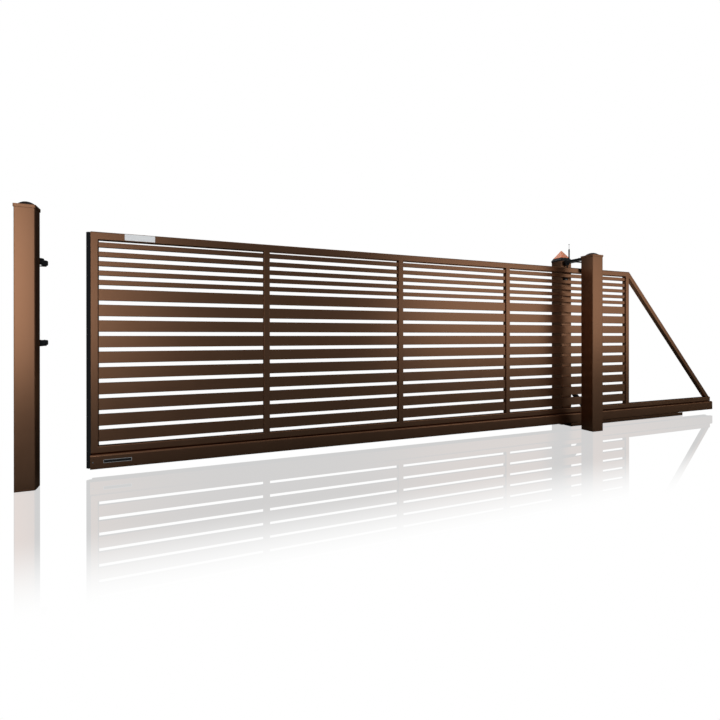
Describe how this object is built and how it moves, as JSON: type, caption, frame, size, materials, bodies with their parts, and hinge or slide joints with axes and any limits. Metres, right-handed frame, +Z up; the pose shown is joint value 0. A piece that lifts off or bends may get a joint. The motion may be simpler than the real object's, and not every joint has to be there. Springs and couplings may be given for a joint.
{
  "type": "sliding driveway gate",
  "caption": "Cantilevered sliding gate with a slatted leaf, running beam and counterweight tail, a two-post portal with a flashing lamp, and a closing post with catches.",
  "frame": {"origin": "centre of the front portal post's foot, on the ground", "axes": "+X along the gate towards its counterweight tail, +Y from the front post to the rear post, +Z up"},
  "size_m": [7.181, 0.545, 1.9625],
  "materials": {
    "bronze_coat": "satin",
    "black_coat": "satin",
    "black_plastic": "matte",
    "rubber": "matte",
    "zinc_steel": "zinc plated",
    "wheel_nylon": "matte",
    "orange_lens": "gloss",
    "pale_plate": "satin",
    "dark_plate": "satin"
  },
  "bodies": {
    "portal": {"front_post": "bronze_coat", "front_post_foot": "bronze_coat", "rear_post": "bronze_coat", "rear_post_foot": "bronze_coat", "closing_post": "bronze_coat", "closing_post_foot": "bronze_coat", "ground_channel": "bronze_coat", "top_bridge": "black_coat", "guide_plate": "black_coat", "strut": "black_coat", "strut_foot": "black_coat", "upper_catch": "black_coat", "lower_catch": "black_coat", "antenna_mast": "black_coat", "antenna_whip": "black_coat", "front_post_cap": "black_plastic", "closing_post_cap": "black_plastic", "lamp_base": "black_plastic", "sensor": "black_plastic", "catch_rollers": "rubber", "front_guide_roller": "rubber", "rear_guide_roller": "rubber", "front_carriage": "zinc_steel", "rear_carriage": "zinc_steel", "carriage_wheels": "wheel_nylon", "lamp_lens": "orange_lens"},
    "leaf": {"top_rail": "bronze_coat", "bottom_rail": "bronze_coat", "closing_stile": "bronze_coat", "mid_stile_1": "bronze_coat", "mid_stile_2": "bronze_coat", "mid_stile_3": "bronze_coat", "mid_stile_4": "bronze_coat", "tail_stile": "bronze_coat", "tail_brace": "bronze_coat", "slats_bay_1": "bronze_coat", "slats_bay_2": "bronze_coat", "slats_bay_3": "bronze_coat", "slats_bay_4": "bronze_coat", "slats_bay_5": "bronze_coat", "running_beam": "bronze_coat", "beam_caps": "black_plastic", "edge_seal": "rubber", "rail_plate": "pale_plate", "beam_plate": "dark_plate"}
  },
  "joints": [
    {"name": "leaf_slide", "type": "slide", "parent": "portal", "child": "leaf", "axis": [1, 0, 0], "range_m": [-0.304, 4.42]}
  ]
}
